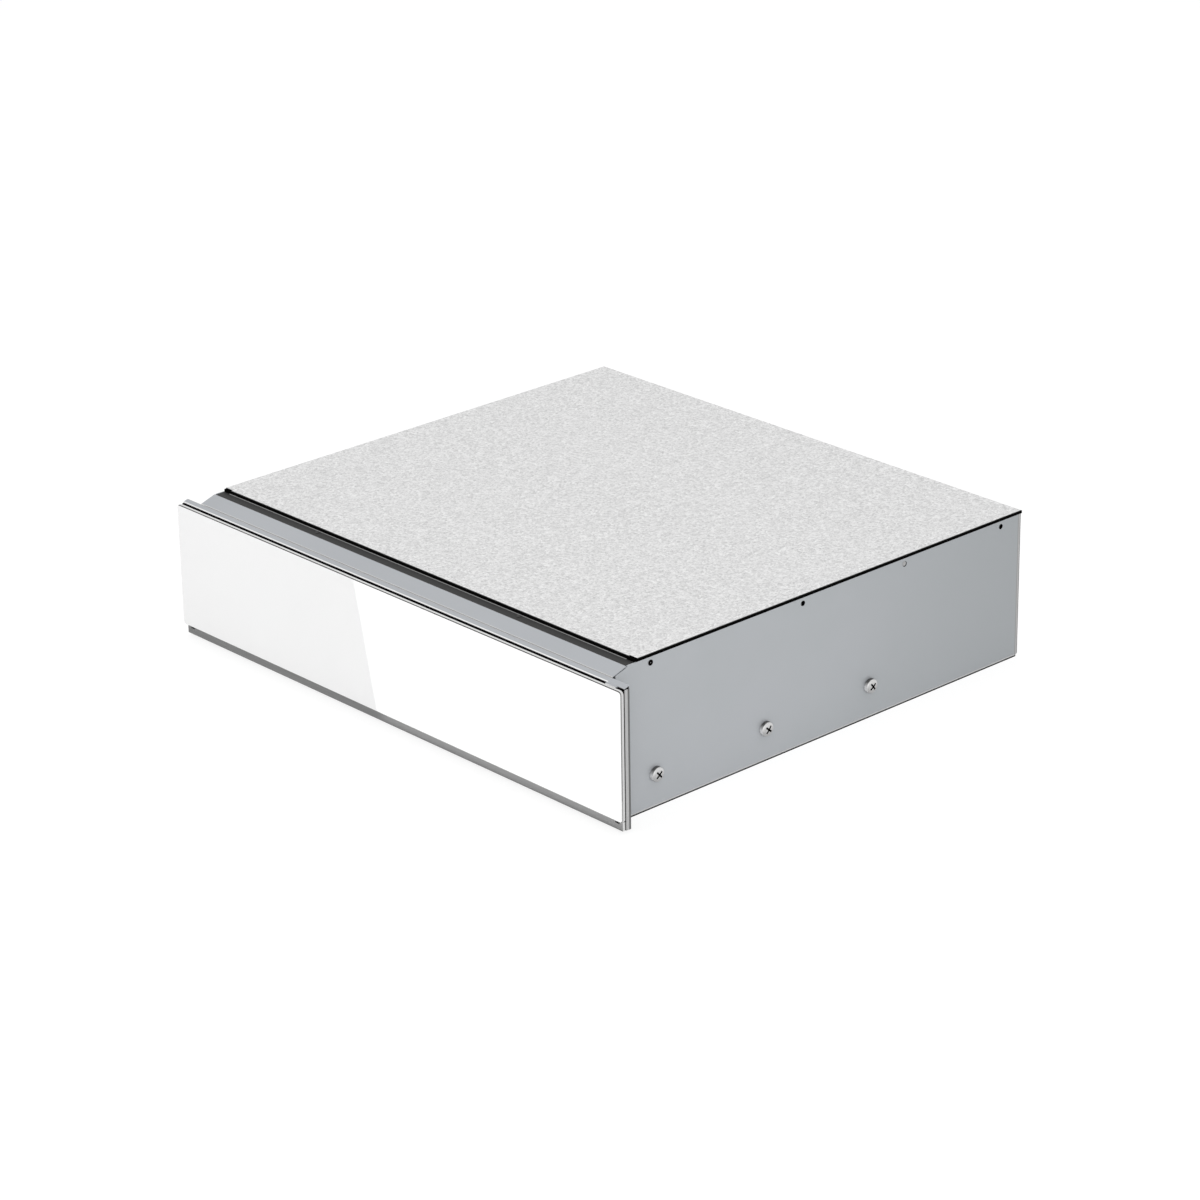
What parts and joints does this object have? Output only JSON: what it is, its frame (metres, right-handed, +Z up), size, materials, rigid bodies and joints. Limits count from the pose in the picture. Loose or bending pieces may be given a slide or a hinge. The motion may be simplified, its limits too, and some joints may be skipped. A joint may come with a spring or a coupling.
{
  "type": "built-in warming drawer",
  "caption": "Built-in warming drawer for a kitchen niche: flat steel casing, handleless white glass front, tub on telescopic runners, fan heater behind.",
  "frame": {"origin": "under the middle of the whole object, on the surface it stands on", "axes": "+X to the right seen from the front, +Y from the glass front to the back, +Z up"},
  "size_m": [0.595, 0.52, 0.1415],
  "materials": {
    "white_glass": "white back-painted glass, polished",
    "black_foam": "matt black bonding tape",
    "brushed_carrier": "brushed, dark anodised",
    "grey_frame": "satin grey",
    "dark_grey_frame": "satin dark grey",
    "black_rubber": "matt",
    "stainless": "brushed",
    "grey_rubber": "fine grained",
    "zinc_steel": "bright zinc plated",
    "screw_steel": "bright zinc plated",
    "dark_screw": "black phosphated",
    "black_plastic": "fine texture",
    "amber_lens": "clear amber",
    "satin_knob": "satin",
    "galvanised": "galvanised",
    "galvanised_top": "galvanised, fine spangle",
    "satin_grey_sheet": "satin grey",
    "mineral_wool": "fibrous",
    "aluminium_wheel": "as pressed",
    "element_sheath": "heat tinted",
    "white_plastic": "plain"
  },
  "bodies": {
    "casing": {"base_plate": "galvanised", "side_panel_left": "satin_grey_sheet", "side_panel_right": "satin_grey_sheet", "back_panel": "galvanised", "cable_gland": "black_plastic", "top_frame": "galvanised", "top_seal": "black_rubber", "top_plate": "galvanised_top", "front_crossbar": "galvanised", "front_slope_trim": "satin_grey_sheet", "ledge_strip": "black_plastic", "ledge_screws": "dark_screw", "top_frame_screws": "dark_screw", "rail_screws_left": "screw_steel", "rail_screws_right": "screw_steel", "rail_outer_left": "zinc_steel", "rail_outer_right": "zinc_steel", "heat_shield": "galvanised", "insulation_pad": "mineral_wool", "rear_baffle": "galvanised", "motor_plate": "galvanised", "fan_motor": "black_plastic", "heating_element": "element_sheath", "thermal_cutout": "black_plastic", "terminal_block": "white_plastic", "latch_body": "black_plastic", "joining_angles": "galvanised"},
    "drawer": {"front_glass": "white_glass", "glass_bond": "black_foam", "front_gasket": "black_foam", "front_carrier": "brushed_carrier", "front_frame": "grey_frame", "front_rear_plate": "dark_grey_frame", "front_top_rail": "satin_grey_sheet", "drawer_seal": "black_rubber", "inner_front_wall": "stainless", "drawer_floor": "stainless", "drawer_side_left": "stainless", "drawer_side_right": "stainless", "drawer_back": "stainless", "anti_slip_mat": "grey_rubber", "rail_inner_left": "zinc_steel", "rail_inner_right": "zinc_steel", "front_bracket_left": "zinc_steel", "front_bracket_right": "zinc_steel", "bracket_screws": "screw_steel", "latch_striker": "zinc_steel", "control_fascia": "black_plastic", "thermostat_body": "black_plastic", "switch_body": "black_plastic", "indicator_lens": "amber_lens"},
    "runner_left": {"rail_mid_left": "zinc_steel"},
    "runner_right": {"rail_mid_right": "zinc_steel"},
    "fan": {"fan_wheel": "aluminium_wheel", "fan_shaft": "zinc_steel"},
    "latch": {"latch_plunger": "white_plastic"},
    "knob": {"control_knob": "satin_knob", "knob_spindle": "zinc_steel"},
    "button": {"power_button": "black_plastic"}
  },
  "joints": [
    {"name": "drawer_slide", "type": "slide", "parent": "casing", "child": "drawer", "axis": [0, -1, 0], "range_m": [-0.003, 0.4]},
    {"name": "runner_left_slide", "type": "slide", "parent": "casing", "child": "runner_left", "axis": [0, -1, 0], "range_m": [-0.0015, 0.2]},
    {"name": "runner_right_slide", "type": "slide", "parent": "casing", "child": "runner_right", "axis": [0, -1, 0], "range_m": [-0.0015, 0.2]},
    {"name": "fan_spin", "type": "hinge", "parent": "casing", "child": "fan", "pos_m": [0, 0.19, 0.066], "axis": [0, 1, 0], "continuous": true},
    {"name": "latch_press", "type": "slide", "parent": "casing", "child": "latch", "axis": [0, 1, 0], "range_m": [0, 0.003], "stiffness_N_per_m": 400},
    {"name": "knob_turn", "type": "hinge", "parent": "drawer", "child": "knob", "pos_m": [0.19, -0.231, 0.118], "axis": [0, 0, -1], "range_deg": [0, 270]},
    {"name": "button_press", "type": "slide", "parent": "drawer", "child": "button", "axis": [0, 0, -1], "range_m": [0, 0.002], "stiffness_N_per_m": 350}
  ],
  "couplings": [
    {"joint": "runner_left_slide", "follows": "drawer_slide", "ratio": 0.5},
    {"joint": "runner_right_slide", "follows": "drawer_slide", "ratio": 0.5}
  ]
}
